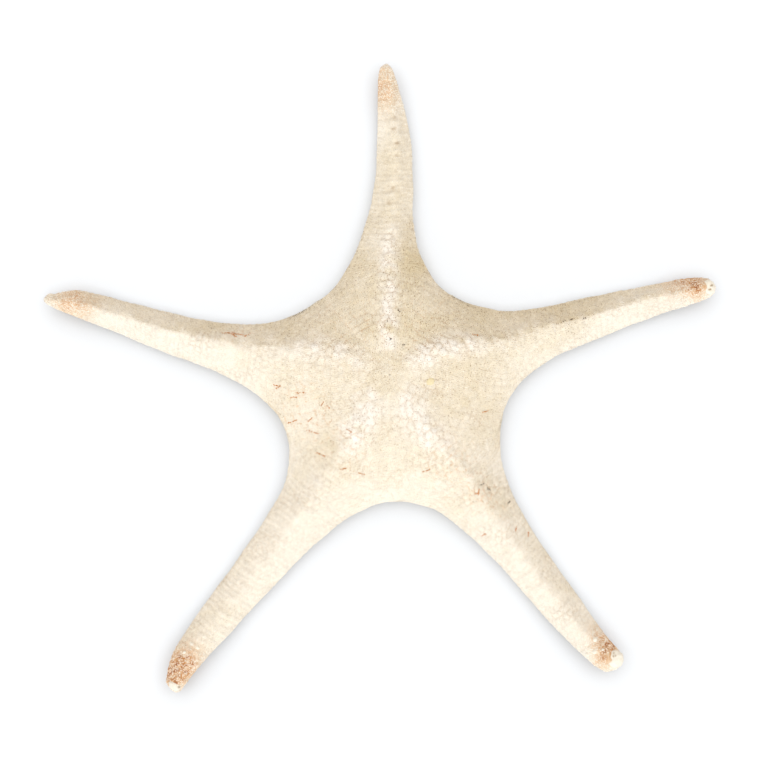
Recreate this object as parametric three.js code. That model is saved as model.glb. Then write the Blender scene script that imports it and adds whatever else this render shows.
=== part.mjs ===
// Dried starfish, lying on its underside with its upper side up.
// Millimetres, +Z up, resting plane at z = 0, origin at the middle of the footprint's box.
// The body is one closed solid. Five sectors, one for each arm, share the lines that run from the disc's
// centre to the webs between the arms. A sector is a grid: rows cross the arm, from the centre to the tip,
// and columns run along it, from its right edge over the crest to its left edge.

import * as THREE from "three";
import { mergeVertices } from "three/addons/utils/BufferGeometryUtils.js";

// Driving dimensions

const DISC_MARGIN = 7; // height of the widest line of the side, as it would be at the disc's centre
const TIP_MARGIN = 3; // the same at an arm's tip
const DISC_SWELL = 18.6; // height of the upper skin over that line, far in from the outline, on the disc
const TIP_SWELL = 12; // the same at an arm's tip
const DISC_SWELL_WIDTH = 13.5; // way in from the outline that takes the skin up by two thirds of the swell
const TIP_SWELL_WIDTH = 10;
const FLAT_SWELL_SHARE = 0.45; // what is left of the swell's height on an arm with a flat back
const FLAT_WIDTH_SHARE = 0.5; // and of its width
const ROOF_START = 0.37; // share of the reach where an arm's back starts to take on its own shape
const ROOF_END = 0.62; // and where it has it
const TIP_ROOF_SHARE = 0.5; // what is left of the roof shape at the tip
const TIP_ROOF_START = 0.8; // share of the reach where the arm's end starts to flatten
const TIP_ROOF_END = 0.95; // and where it is flat
const CREST_SHARPNESS = 6; // how flanks meet at a crest: more is sharper

const KEEL_HEIGHT = 2.8; // keel along the crest of each arm that has a back like a roof
const DISC_KEEL_WIDTH = 6; // way down from the crest that takes the keel down to about a third, on the disc
const KEEL_WIDTH = 3.6; // the same on an arm
const KEEL_ROUNDING = 1.4; // how far its edge is rounded off
const KEEL_START = -0.92; // row where the keel starts to rise: the disc's rows go from -1, its centre, to 0
const KEEL_FULL = -0.5; // row where it has its whole height
const KEEL_NARROW = 0.45; // share of the reach where it has narrowed to its width on an arm

const MEAN_REACH = 128; // reach that the heights on the disc go by, the same for all five sectors

const TIP_LIFT = 4; // how far the dried arm ends curl up off the surface
const LIFT_START = 0.7; // share of the reach where the curl starts

const SIDE_UNDERCUT = 2.2; // how far the underside's edge lies inside the widest line
const TIP_UNDERCUT_SHARE = 0.3; // what is left of that at the tip
const SIDE_BULGE_IN = 0.5; // how far the side's middle line lies inside the widest line
const SIDE_BULGE_SHARE = 0.45; // its height, as a share of the widest line's height

const GROOVE_HALF_WIDTH = 2.6; // half the furrow under each arm
const GROOVE_DEPTH = 3.2;
const GROOVE_END = 0.9; // share of the reach where the furrow has run out
const MOUTH_RADIUS = 6.5;
const MOUTH_DEPTH = 6;

// Webs between the arms, in order round the disc: bearing in degrees from +X, and distance from the centre

const WEBS = [
  { bearing: -18, radius: 44.2 },
  { bearing: 54, radius: 36.8 },
  { bearing: 131, radius: 37 },
  { bearing: 207, radius: 42.8 },
  { bearing: 270.5, radius: 46.5 },
];

// Arms, each one after the web of the same place in that list. Reach is from the disc's centre to the tip.
// At each station, a share of the reach, stand the offsets of the arm's left edge, crest and right edge
// from the straight line between centre and tip. Left is positive, as seen on the way to the tip. The crest
// has two more on the disc, ahead of these: halfway to the webs and level with them. Roof says how the
// arm's back is shaped, from 0 for flat to 1 for two flanks that meet like a roof's.

const STATIONS = [0.36, 0.48, 0.62, 0.78, 0.92, 0.97, 0.99];

const ARMS = [
  {
    bearing: 15.1,
    roof: 1,
    reach: 123.9,
    left: [12.4, 9.3, 8.4, 7.1, 5.6, 4.2, 2.7],
    crest: [4, 1.9, 1.2, 2.2, 1.6, 2.1, 1.4, 0.9, 0.6],
    right: [-16, -9.7, -7.3, -4.9, -3.8, -3.3, -2.2],
  },
  {
    bearing: 90.4,
    roof: 0.6,
    reach: 113.3,
    left: [14, 8.4, 4.7, 3.6, 3.2, 2.8, 1.9],
    crest: [0, 0, 0, -0.7, -2.8, -3, -1, -0.1, 0.2],
    right: [-13, -9.5, -9.3, -8.3, -4.4, -2.6, -1.5],
  },
  {
    bearing: 167.7,
    roof: 1,
    reach: 128.8,
    left: [17.1, 12.5, 9.8, 6.2, 3.3, 2.3, 1.3],
    crest: [-4, -1.7, -0.8, 0.7, 1, 0, -1, -0.9, -0.6],
    right: [-9.4, -5.9, -5, -5.7, -5.7, -3.1, -2.1],
  },
  {
    bearing: 236,
    roof: 0.1,
    reach: 140,
    left: [17.6, 12.2, 8.5, 4.9, 2, 1.6, 1.3],
    crest: [1.3, 1.4, 1.4, 0.9, 0.3, -1.3, -2.8, -2.4, -1.6],
    right: [-10.7, -8.1, -8.1, -9, -8.5, -6, -4.5],
  },
  {
    bearing: 308.1,
    roof: 0.4,
    reach: 136.1,
    left: [13.7, 8.1, 5.5, 4.6, 3.5, 3.9, 2.8],
    crest: [-1.2, -0.4, -0.2, -1.6, -2.9, -2.7, -1.7, -0.8, -0.3],
    right: [-17.4, -13.1, -10.8, -9.7, -7.5, -5.8, -4],
  },
];

// Fineness of the grid

const DISC_ROWS = 8; // from the centre to the webs
const SPAN_ROWS = [4, 3, 4, 4, 4, 3, 2, 3]; // from each station to the next, web first and tip last
const FLANK_COLUMNS = 6; // from the crest to an edge
const SOLE_COLUMNS = [0, 0.5, 1]; // from the furrow's lip to an edge
const WIDEST_LIP = 0.5; // the most that half the furrow takes of a row, from the crest to an edge
const CURVE_TYPE = "centripetal";
const RIM_STEPS = 24; // straight steps of the outline from one of its points to the next
const MERGE_DISTANCE = 1e-3;

const armRows = SPAN_ROWS.reduce((sum, count) => sum + count, 0);
const spans = SPAN_ROWS.length;

const direction = (bearing) => {
  const angle = THREE.MathUtils.degToRad(bearing);
  return new THREE.Vector3(Math.cos(angle), Math.sin(angle), 0);
};

const webPoint = (web) => direction(web.bearing).multiplyScalar(web.radius);

function armPoint(arm, share, offset) {
  const along = direction(arm.bearing).multiplyScalar(arm.reach * share);
  const across = direction(arm.bearing + 90).multiplyScalar(offset);
  return along.add(across);
}

// The outline goes once round the body: web, right edge, tip, left edge, and on to the next arm's web.

function outlineCurve() {
  const points = [];
  ARMS.forEach((arm, index) => {
    points.push(webPoint(WEBS[index]));
    STATIONS.forEach((share, k) => points.push(armPoint(arm, share, arm.right[k])));
    points.push(armPoint(arm, 1, 0));
    const backwards = [...STATIONS.keys()].reverse();
    backwards.forEach((k) => points.push(armPoint(arm, STATIONS[k], arm.left[k])));
  });
  return new THREE.CatmullRomCurve3(points, true, CURVE_TYPE);
}

// How far out the webs on both sides of an arm are, as a share of its reach

function webShare(arm, index) {
  const nextIndex = (index + 1) % WEBS.length;
  return (WEBS[index].radius + WEBS[nextIndex].radius) / 2 / arm.reach;
}

// A line along the middle of an arm, from the disc's centre to the tip. The row from web to web crosses it
// as far out as the webs are, so that the row meets their lines squarely.

function middleCurve(arm, index, offsets) {
  const web = webShare(arm, index);
  const shares = [web / 2, web, ...STATIONS];
  const between = shares.map((share, k) => armPoint(arm, share, offsets[k]));
  const points = [armPoint(arm, 0, 0), ...between, armPoint(arm, 1, 0)];
  return new THREE.CatmullRomCurve3(points, false, CURVE_TYPE);
}

// The furrow on the underside runs straight from the mouth to the first station, and on midway between the
// edges.

function furrowCurve(arm, index) {
  const midway = STATIONS.map((share, k) => (arm.left[k] + arm.right[k]) / 2);
  const atWeb = (midway[0] * webShare(arm, index)) / STATIONS[0];
  return middleCurve(arm, index, [atWeb / 2, atWeb, ...midway]);
}

const crestCurves = ARMS.map((arm, index) => middleCurve(arm, index, arm.crest));
const furrowCurves = ARMS.map(furrowCurve);
const outline = outlineCurve();
const outlineSpans = outline.points.length;

// A place on the outline, moved in by inset. The outline runs anticlockwise, so inwards is to its left.

function edgePoint(place, inset) {
  const t = THREE.MathUtils.euclideanModulo(place / outlineSpans, 1);
  const tangent = outline.getTangent(t);
  return outline.getPoint(t).add(new THREE.Vector3(-tangent.y, tangent.x, 0).multiplyScalar(inset));
}

// Rows are counted in spans from the web: below 0 on the disc, and one for each span between stations.

function rowPlaces() {
  const places = [];
  for (let row = 0; row < DISC_ROWS; row += 1) {
    places.push(row / DISC_ROWS - 1);
  }
  SPAN_ROWS.forEach((count, span) => {
    for (let row = 0; row < count; row += 1) {
      places.push(span + row / count);
    }
  });
  places.push(spans);
  return places;
}

// How far along the middle line a row crosses it. That line has two spans on the disc, then one each.

const DISC_CREST_SPANS = 2;
const middleSpan = (place) => (place < 0 ? DISC_CREST_SPANS * (place + 1) : DISC_CREST_SPANS + place);
const rowProgress = (place) => middleSpan(place) / (DISC_CREST_SPANS + spans);

// One row of one sector: its right end, its middle and its left end, in plan. An inset row lies inside the
// outline, less so towards the tip, and its middle is drawn back so that the last row still shrinks to a
// point.

function rowLine(index, place, middleCurves, wholeInset) {
  const firstWeb = index * 2 * spans;
  const nextWeb = firstWeb + 2 * spans;
  const tip = firstWeb + spans;
  const tipInset = wholeInset * TIP_UNDERCUT_SHARE;
  const inset = THREE.MathUtils.lerp(wholeInset, tipInset, Math.max(place / spans, 0));
  const drawnBack = edgePoint(tip, tipInset).sub(edgePoint(tip, 0));
  const progress = rowProgress(place);
  const middle = middleCurves[index].getPoint(progress).addScaledVector(drawnBack, progress);
  if (place < 0) {
    const right = edgePoint(firstWeb, inset).multiplyScalar(place + 1);
    const left = edgePoint(nextWeb, inset).multiplyScalar(place + 1);
    return { right, middle, left };
  }
  return { right: edgePoint(firstWeb + place, inset), middle, left: edgePoint(nextWeb - place, inset) };
}

// A point across the row, from -1 at its right end over 0 in the middle to 1 at its left end.

function acrossRow({ right, middle, left }, across) {
  const slope = left.clone().sub(right).multiplyScalar(across / 2);
  const bend = left.clone().add(right).multiplyScalar(0.5).sub(middle).multiplyScalar(across * across);
  return middle.clone().add(slope).add(bend);
}

// How far out a point is, as a share of the reach: of the mean reach on the disc, and more and more of the
// arm's own reach on the way to the tip.

function reachShare(arm, place, point) {
  const ownShare = THREE.MathUtils.smoothstep(place, 0, spans);
  return Math.min(Math.hypot(point.x, point.y) / THREE.MathUtils.lerp(MEAN_REACH, arm.reach, ownShare), 1);
}

const lift = (share) => TIP_LIFT * THREE.MathUtils.smoothstep(share, LIFT_START, 1);

// How far a point lies in from the outline, in plan. The outline's short steps each count by a high power
// of their nearness: close to the outline this is the plain distance, and where two flanks meet it turns
// over smoothly.

const rim = outline.getPoints(outlineSpans * RIM_STEPS);
const rimSteps = rim.slice(1).map((end, k) => {
  const middle = rim[k].clone().lerp(end, 0.5);
  return { middle, length: rim[k].distanceTo(end) };
});
const STRAIGHT_RIM_SUM = (3 * Math.PI) / 8; // what a straight rim sums to at distance 1, for a power of 6

function inFromOutline(point) {
  const nearness = ({ middle, length }) => length / point.distanceTo(middle) ** CREST_SHARPNESS;
  const sum = rimSteps.reduce((total, step) => total + nearness(step), 0);
  return (sum / STRAIGHT_RIM_SUM) ** (-1 / (CREST_SHARPNESS - 1));
}

// Height of the upper skin: it swells up from the widest line of the side, and carries a keel on each crest.

function swellHeight(roof, share, inward) {
  const height = THREE.MathUtils.lerp(DISC_SWELL, TIP_SWELL, share);
  const width = THREE.MathUtils.lerp(DISC_SWELL_WIDTH, TIP_SWELL_WIDTH, share);
  const ownHeight = height * THREE.MathUtils.lerp(FLAT_SWELL_SHARE, 1, roof);
  const ownWidth = width * THREE.MathUtils.lerp(FLAT_WIDTH_SHARE, 1, roof);
  return ownHeight * (1 - Math.exp(-inward / ownWidth));
}

function keelHeight(place, share, across, fromCrest, inward) {
  const narrowed = THREE.MathUtils.smoothstep(share, 0, KEEL_NARROW);
  const width = THREE.MathUtils.lerp(DISC_KEEL_WIDTH, KEEL_WIDTH, narrowed);
  const risen = THREE.MathUtils.smoothstep(place, KEEL_START, KEEL_FULL);
  const nearEdge = Math.min(inward / width, 1);
  const fall = Math.exp(-Math.hypot(fromCrest, KEEL_ROUNDING) / width) * (1 - across * across);
  return KEEL_HEIGHT * risen * nearEdge * fall;
}

function roofShape(arm, share) {
  const own = THREE.MathUtils.smoothstep(share, ROOF_START, ROOF_END);
  const flattened = THREE.MathUtils.smoothstep(share, TIP_ROOF_START, TIP_ROOF_END);
  return THREE.MathUtils.lerp(1, arm.roof, own) * THREE.MathUtils.lerp(1, TIP_ROOF_SHARE, flattened);
}

function topHeight(arm, place, across, point, crest) {
  const share = reachShare(arm, place, point);
  const margin = lift(share) + THREE.MathUtils.lerp(DISC_MARGIN, TIP_MARGIN, share);
  const onEdge = place === spans || (place >= 0 && Math.abs(across) === 1);
  if (onEdge) {
    return margin;
  }
  const roof = roofShape(arm, share);
  const inward = inFromOutline(point);
  const keel = roof * keelHeight(place, share, across, point.distanceTo(crest), inward);
  return margin + swellHeight(roof, share, inward) + keel;
}

// The underside: flat, with a furrow under each arm that deepens into the mouth. The furrow never cuts into
// the edge, not even where the arm is narrow.

function soleHeight(arm, place, across, point, middle) {
  const share = reachShare(arm, place, point);
  const fromFurrow = point.distanceTo(middle) / GROOVE_HALF_WIDTH;
  const runOut = 1 - THREE.MathUtils.smoothstep(share, LIFT_START, GROOVE_END);
  const hollow = Math.max(1 - fromFurrow * fromFurrow, 0) * (1 - across * across);
  const furrow = GROOVE_DEPTH * runOut * hollow;
  const fromMouth = point.length() / MOUTH_RADIUS;
  const mouth = MOUTH_DEPTH * Math.max(1 - fromMouth * fromMouth, 0);
  return lift(share) + Math.max(furrow, mouth);
}

// Columns: evenly spread over the top, and measured from the furrow's lip on the underside.

function topColumns() {
  const columns = [];
  for (let column = -FLANK_COLUMNS; column <= FLANK_COLUMNS; column += 1) {
    columns.push(column / FLANK_COLUMNS);
  }
  return columns;
}

function soleColumns({ right, middle, left }) {
  const leastWidth = GROOVE_HALF_WIDTH / WIDEST_LIP;
  const lipShare = (end) => GROOVE_HALF_WIDTH / Math.max(end.distanceTo(middle), leastWidth);
  const rightLip = lipShare(right);
  const leftLip = lipShare(left);
  const rightColumns = SOLE_COLUMNS.map((t) => -THREE.MathUtils.lerp(rightLip, 1, t)).reverse();
  const leftColumns = SOLE_COLUMNS.map((t) => THREE.MathUtils.lerp(leftLip, 1, t));
  return [...rightColumns, -rightLip / 2, 0, leftLip / 2, ...leftColumns];
}

// Sheets of points, row by row

function topSheet(index) {
  return rowPlaces().map((place) => {
    const line = rowLine(index, place, crestCurves, 0);
    return topColumns().map((across) => {
      const point = acrossRow(line, across);
      return point.setZ(topHeight(ARMS[index], place, across, point, line.middle));
    });
  });
}

function soleSheet(index) {
  return rowPlaces().map((place) => {
    const line = rowLine(index, place, furrowCurves, SIDE_UNDERCUT);
    return soleColumns(line).map((across) => {
      const point = acrossRow(line, across);
      return point.setZ(soleHeight(ARMS[index], place, across, point, line.middle));
    });
  });
}

// The side, from the top's edge over a middle line to the underside's edge

function sideLine(index, place, end) {
  const arm = ARMS[index];
  const top = rowLine(index, place, crestCurves, 0)[end];
  const middle = rowLine(index, place, crestCurves, SIDE_BULGE_IN)[end];
  const bottom = rowLine(index, place, crestCurves, SIDE_UNDERCUT)[end];
  top.setZ(topHeight(arm, place, 1, top, top));
  bottom.setZ(lift(reachShare(arm, place, bottom)));
  middle.setZ(THREE.MathUtils.lerp(bottom.z, top.z, SIDE_BULGE_SHARE));
  return [top, middle, bottom];
}

function addQuads(triangles, sheet, flipped) {
  for (let row = 0; row + 1 < sheet.length; row += 1) {
    for (let column = 0; column + 1 < sheet[row].length; column += 1) {
      const near = sheet[row];
      const far = sheet[row + 1];
      const corners = [near[column], far[column], far[column + 1], near[column + 1]];
      const order = flipped ? [0, 2, 1, 0, 3, 2] : [0, 1, 2, 0, 2, 3];
      order.forEach((corner) => triangles.push(corners[corner]));
    }
  }
}

// Joins the triangles at their corners and drops those that have shrunk to a line at the centre or a tip.

function closedGeometry(triangles) {
  const loose = new THREE.BufferGeometry().setFromPoints(triangles);
  const merged = mergeVertices(loose, MERGE_DISTANCE);
  const index = merged.getIndex().array;
  const kept = [];
  for (let i = 0; i < index.length; i += 3) {
    const [a, b, c] = index.slice(i, i + 3);
    if (a !== b && b !== c && c !== a) {
      kept.push(a, b, c);
    }
  }
  merged.setIndex(kept);
  return merged;
}

function starfishGeometry() {
  const triangles = [];
  ARMS.forEach((arm, index) => {
    addQuads(triangles, topSheet(index), false);
    addQuads(triangles, soleSheet(index), true);
    const sidePlaces = rowPlaces().slice(-armRows - 1);
    addQuads(triangles, sidePlaces.map((place) => sideLine(index, place, "left")), false);
    addQuads(triangles, sidePlaces.map((place) => sideLine(index, place, "right")), true);
  });
  return closedGeometry(triangles);
}

const skin = new THREE.MeshStandardMaterial({ color: 0xf2e6cf, roughness: 0.75, metalness: 0 });
const geometry = starfishGeometry();
geometry.computeVertexNormals();

const starfish = new THREE.Mesh(geometry, skin);
starfish.name = "starfish";

// The footprint's box is centred on the origin.
geometry.computeBoundingBox();
const middle = geometry.boundingBox.getCenter(new THREE.Vector3());
starfish.position.set(-middle.x, -middle.y, 0);

const part = new THREE.Group();
part.add(starfish);

export default part;
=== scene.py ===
"""Looks of a dried, sun-bleached starfish that lies on a pale surface, upper side up."""

import math

import bpy
import numpy as np
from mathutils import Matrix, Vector
from mathutils.bvhtree import BVHTree
from mathutils.kdtree import KDTree


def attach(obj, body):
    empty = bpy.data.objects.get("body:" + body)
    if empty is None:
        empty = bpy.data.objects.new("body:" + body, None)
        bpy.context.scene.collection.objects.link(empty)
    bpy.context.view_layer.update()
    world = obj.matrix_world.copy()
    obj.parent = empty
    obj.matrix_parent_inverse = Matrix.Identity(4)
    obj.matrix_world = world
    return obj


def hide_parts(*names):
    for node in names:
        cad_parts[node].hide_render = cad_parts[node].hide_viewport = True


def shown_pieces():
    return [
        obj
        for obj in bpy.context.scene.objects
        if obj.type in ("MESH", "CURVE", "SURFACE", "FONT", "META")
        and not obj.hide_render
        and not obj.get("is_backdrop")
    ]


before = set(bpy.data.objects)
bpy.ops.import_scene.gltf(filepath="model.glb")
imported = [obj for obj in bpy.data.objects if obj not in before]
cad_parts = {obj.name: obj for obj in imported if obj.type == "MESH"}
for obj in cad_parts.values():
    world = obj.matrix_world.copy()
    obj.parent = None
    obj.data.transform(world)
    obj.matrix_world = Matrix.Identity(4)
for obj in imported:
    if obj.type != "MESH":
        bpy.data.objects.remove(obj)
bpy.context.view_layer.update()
chance = np.random.default_rng(11)

# Shape of the body, in millimetres: the same sizes as the solid part

DISC_MARGIN = 7.0  # height of the widest line of the side at the disc
TIP_MARGIN = 3.0
DISC_SWELL = 18.6  # height of the upper skin over that line, far in from the outline
TIP_SWELL = 12.0
DISC_SWELL_WIDTH = 13.5
TIP_SWELL_WIDTH = 10.0
FLAT_SWELL_SHARE = 0.45  # of that height, and of that width, on an arm with a flat back
FLAT_WIDTH_SHARE = 0.5
ROOF_START = 0.37  # share of the reach over which an arm's back takes on its own shape
ROOF_END = 0.62
TIP_ROOF_SHARE = 0.5  # what is left of the roof shape at the tip
TIP_ROOF_START = 0.8
TIP_ROOF_END = 0.95
KEEL_HEIGHT = 2.8
DISC_KEEL_WIDTH = 6.0
KEEL_WIDTH = 3.6
KEEL_ROUNDING = 1.4
KEEL_START = -0.92  # near the disc's centre
KEEL_FULL = -0.5
KEEL_NARROW = 0.45
MEAN_REACH = 128.0
TIP_LIFT = 4.0
LIFT_START = 0.7
SIDE_UNDERCUT = 2.2
TIP_UNDERCUT_SHARE = 0.3
SIDE_CURVE = 2.5  # how late the side turns in under the body
FURROW_HALF_WIDTH = 2.6
FURROW_DEPTH = 3.2
FURROW_END = 0.9
MOUTH_RADIUS = 6.5
MOUTH_DEPTH = 6.0
SOLE_RISE = 0.4  # room under the sole's plates for the granules that the body rests on

# Webs between the arms: bearing in degrees and distance from the disc's centre

WEBS = [(-18, 44.2), (54, 36.8), (131, 37), (207, 42.8), (270.5, 46.5)]

# Arms: at each station, a share of the reach, the left edge, crest and right edge, measured from the
# straight line between centre and tip. The crest has two more places on the disc, ahead of these.

STATIONS = [0.36, 0.48, 0.62, 0.78, 0.92, 0.97, 0.99]
ARMS = [
    {
        "name": "right",
        "roof": 1,
        "bearing": 15.1,
        "reach": 123.9,
        "left": [12.4, 9.3, 8.4, 7.1, 5.6, 4.2, 2.7],
        "crest": [4, 1.9, 1.2, 2.2, 1.6, 2.1, 1.4, 0.9, 0.6],
        "right": [-16, -9.7, -7.3, -4.9, -3.8, -3.3, -2.2],
    },
    {
        "name": "top",
        "roof": 0.6,
        "bearing": 90.4,
        "reach": 113.3,
        "left": [14, 8.4, 4.7, 3.6, 3.2, 2.8, 1.9],
        "crest": [0, 0, 0, -0.7, -2.8, -3, -1, -0.1, 0.2],
        "right": [-13, -9.5, -9.3, -8.3, -4.4, -2.6, -1.5],
    },
    {
        "name": "left",
        "roof": 1,
        "bearing": 167.7,
        "reach": 128.8,
        "left": [17.1, 12.5, 9.8, 6.2, 3.3, 2.3, 1.3],
        "crest": [-4, -1.7, -0.8, 0.7, 1, 0, -1, -0.9, -0.6],
        "right": [-9.4, -5.9, -5, -5.7, -5.7, -3.1, -2.1],
    },
    {
        "name": "low_left",
        "roof": 0.1,
        "bearing": 236,
        "reach": 140,
        "left": [17.6, 12.2, 8.5, 4.9, 2, 1.6, 1.3],
        "crest": [1.3, 1.4, 1.4, 0.9, 0.3, -1.3, -2.8, -2.4, -1.6],
        "right": [-10.7, -8.1, -8.1, -9, -8.5, -6, -4.5],
    },
    {
        "name": "low_right",
        "roof": 0.4,
        "bearing": 308.1,
        "reach": 136.1,
        "left": [13.7, 8.1, 5.5, 4.6, 3.5, 3.9, 2.8],
        "crest": [-1.2, -0.4, -0.2, -1.6, -2.9, -2.7, -1.7, -0.8, -0.3],
        "right": [-17.4, -13.1, -10.8, -9.7, -7.5, -5.8, -4],
    },
]
SPANS = len(STATIONS) + 1
MEAN_WEB = sum(radius for bearing, radius in WEBS) / len(WEBS)

# Fineness of the skin, in millimetres between points

TOP_PITCH = 0.52
SOLE_PITCH = 1.0
SIDE_LINES = 6  # from the widest line down to the sole
RIM_STEPS = 16  # straight pieces per span of the outline
TANGENT_STEP = 0.007  # spans
TOP, SIDE, SOLE = 0, 1, 2
FULL_TURN = 2 * math.pi
RIPPLE_WAVES = 14
RIPPLE_LENGTHS = (0.7, 1.4)  # least and most, as shares of the wavelength
LEAST_ROWS = 3  # per span of an arm
LEAST_LENGTH = 1e-12


def smoothstep(value, start, end):
    t = np.clip((value - start) / (end - start), 0, 1)
    return t * t * (3 - 2 * t)


def lerp(start, end, share):
    return start + (end - start) * share


def ripple(points, wavelength, seed):
    """Smooth irregular waves over the points, mostly between -1 and 1."""
    waves = np.random.default_rng(seed)
    total = np.zeros(len(points))
    for _ in range(RIPPLE_WAVES):
        wave = waves.normal(size=points.shape[1])
        wave *= FULL_TURN / (wavelength * waves.uniform(*RIPPLE_LENGTHS) * np.linalg.norm(wave))
        total += np.cos(points @ wave + waves.uniform(0, FULL_TURN))
    return total / math.sqrt(RIPPLE_WAVES)


# Plan of the body


def heading(bearing):
    return np.array([math.cos(math.radians(bearing)), math.sin(math.radians(bearing))])


def arm_point(arm, share, offset):
    return heading(arm["bearing"]) * arm["reach"] * share + heading(arm["bearing"] + 90) * offset


def spline(points, places, closed):
    """Centripetal Catmull-Rom curve through the points, at places counted in spans."""
    count = len(points)
    if closed:
        first = np.floor(places).astype(int)
        corners = [points[(first + step) % count] for step in (-1, 0, 1, 2)]
    else:
        first = np.clip(np.floor(places).astype(int), 0, count - 2)
        padded = np.vstack([2 * points[0] - points[1], points, 2 * points[-1] - points[-2]])
        corners = [padded[first + step] for step in range(4)]
    a, b, c, d = corners
    before, here, after = [
        np.sqrt(np.linalg.norm(end - start, axis=1))[:, None] for start, end in ((a, b), (b, c), (c, d))
    ]
    leave = ((b - a) / before - (c - a) / (before + here) + (c - b) / here) * here
    arrive = ((c - b) / here - (d - b) / (here + after) + (d - c) / after) * here
    t = (places - first)[:, None]
    bend = -3 * b + 3 * c - 2 * leave - arrive
    return b + t * (leave + t * (bend + t * (2 * b - 2 * c + leave + arrive)))


def outline_points():
    points = []
    for arm, (bearing, radius) in zip(ARMS, WEBS):
        points.append(heading(bearing) * radius)
        points += [arm_point(arm, share, offset) for share, offset in zip(STATIONS, arm["right"])]
        points.append(arm_point(arm, 1, 0))
        points += [arm_point(arm, share, offset) for share, offset in zip(STATIONS, arm["left"])][::-1]
    return np.array(points)


OUTLINE = outline_points()


def edge(places, inset):
    """Points of the outline, moved inwards by inset."""
    tangent = spline(OUTLINE, places + TANGENT_STEP, True) - spline(OUTLINE, places - TANGENT_STEP, True)
    tangent /= np.linalg.norm(tangent, axis=1)[:, None]
    inwards = np.stack([-tangent[:, 1], tangent[:, 0]], 1)
    return spline(OUTLINE, places, True) + inwards * np.reshape(inset, (-1, 1))


def web_share(index):
    return (WEBS[index][1] + WEBS[(index + 1) % len(WEBS)][1]) / 2 / ARMS[index]["reach"]


def middle_points(index, offsets):
    arm = ARMS[index]
    web = web_share(index)
    between = [arm_point(arm, share, offset) for share, offset in zip([web / 2, web, *STATIONS], offsets)]
    return np.array([arm_point(arm, 0, 0), *between, arm_point(arm, 1, 0)])


CRESTS = [middle_points(index, arm["crest"]) for index, arm in enumerate(ARMS)]


def furrow_points(index):
    midway = [(a + b) / 2 for a, b in zip(ARMS[index]["left"], ARMS[index]["right"])]
    at_web = midway[0] * web_share(index) / STATIONS[0]
    return middle_points(index, [at_web / 2, at_web, *midway])


FURROWS = [furrow_points(index) for index in range(len(ARMS))]


def row_places(index, pitch):
    """Rows across a sector, in spans: from -1 at the disc's centre to 0 at the webs and on to the tip."""
    shares = [web_share(index), *STATIONS, 1]
    places = [np.linspace(-1, 0, round(MEAN_WEB / pitch), endpoint=False)]
    for span in range(SPANS):
        length = (shares[span + 1] - shares[span]) * ARMS[index]["reach"]
        places.append(np.linspace(span, span + 1, max(LEAST_ROWS, round(length / pitch)), endpoint=False))
    return np.concatenate([*places, [SPANS]])


def tapered(inset, places):
    return inset * lerp(1, TIP_UNDERCUT_SHARE, np.clip(places / SPANS, 0, 1))


def row_lines(index, places, middles, inset):
    """Right end, middle and left end of each row."""
    first_web = index * 2 * SPANS
    next_web = first_web + 2 * SPANS
    insets = tapered(inset, places)
    on_arm = np.maximum(places, 0)
    shrink = np.minimum(places + 1, 1)[:, None]
    right = edge(first_web + on_arm, insets) * shrink
    left = edge(next_web - on_arm, insets) * shrink
    along = np.where(places < 0, 2 * (places + 1), 2 + places)
    tip = np.array([first_web + SPANS], float)
    drawn_back = edge(tip, tapered(inset, np.array([SPANS]))) - edge(tip, 0)
    middle = spline(middles, along, False) + drawn_back * (along / (SPANS + 2))[:, None]
    return right, middle, left


# Heights of the body

rim = spline(OUTLINE, np.arange(0, len(OUTLINE), 1 / RIM_STEPS), True)
rim_ends = np.roll(rim, -1, 0)
rim_middles = (rim + rim_ends) / 2
rim_lengths = np.linalg.norm(rim_ends - rim, axis=1)
CREST_SHARPNESS = 6  # how flanks meet at a crest: more is sharper
STRAIGHT_RIM_SUM = 3 * math.pi / 8  # what the sum below gives 1 mm in from a straight rim
LEAST_SQUARE = 1e-6
POINTS_AT_ONCE = 4000


def in_from_outline(points):
    """How far points lie in from the outline, turning over smoothly where two flanks meet."""
    result = np.zeros(len(points))
    for start in range(0, len(points), POINTS_AT_ONCE):
        part = points[start : start + POINTS_AT_ONCE]
        square = ((part[:, None, :] - rim_middles[None]) ** 2).sum(2)
        total = (rim_lengths / np.maximum(square, LEAST_SQUARE) ** (CREST_SHARPNESS // 2)).sum(1)
        result[start : start + POINTS_AT_ONCE] = (total / STRAIGHT_RIM_SUM) ** (-1 / (CREST_SHARPNESS - 1))
    return result


def reach_share(sector, place, points):
    reaches = np.array([arm["reach"] for arm in ARMS])[sector]
    own = smoothstep(place, 0, SPANS)
    return np.minimum(np.linalg.norm(points, axis=1) / lerp(MEAN_REACH, reaches, own), 1)


def lift(share):
    return TIP_LIFT * smoothstep(share, LIFT_START, 1)


def margin_height(share):
    return lift(share) + lerp(DISC_MARGIN, TIP_MARGIN, share)


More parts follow.
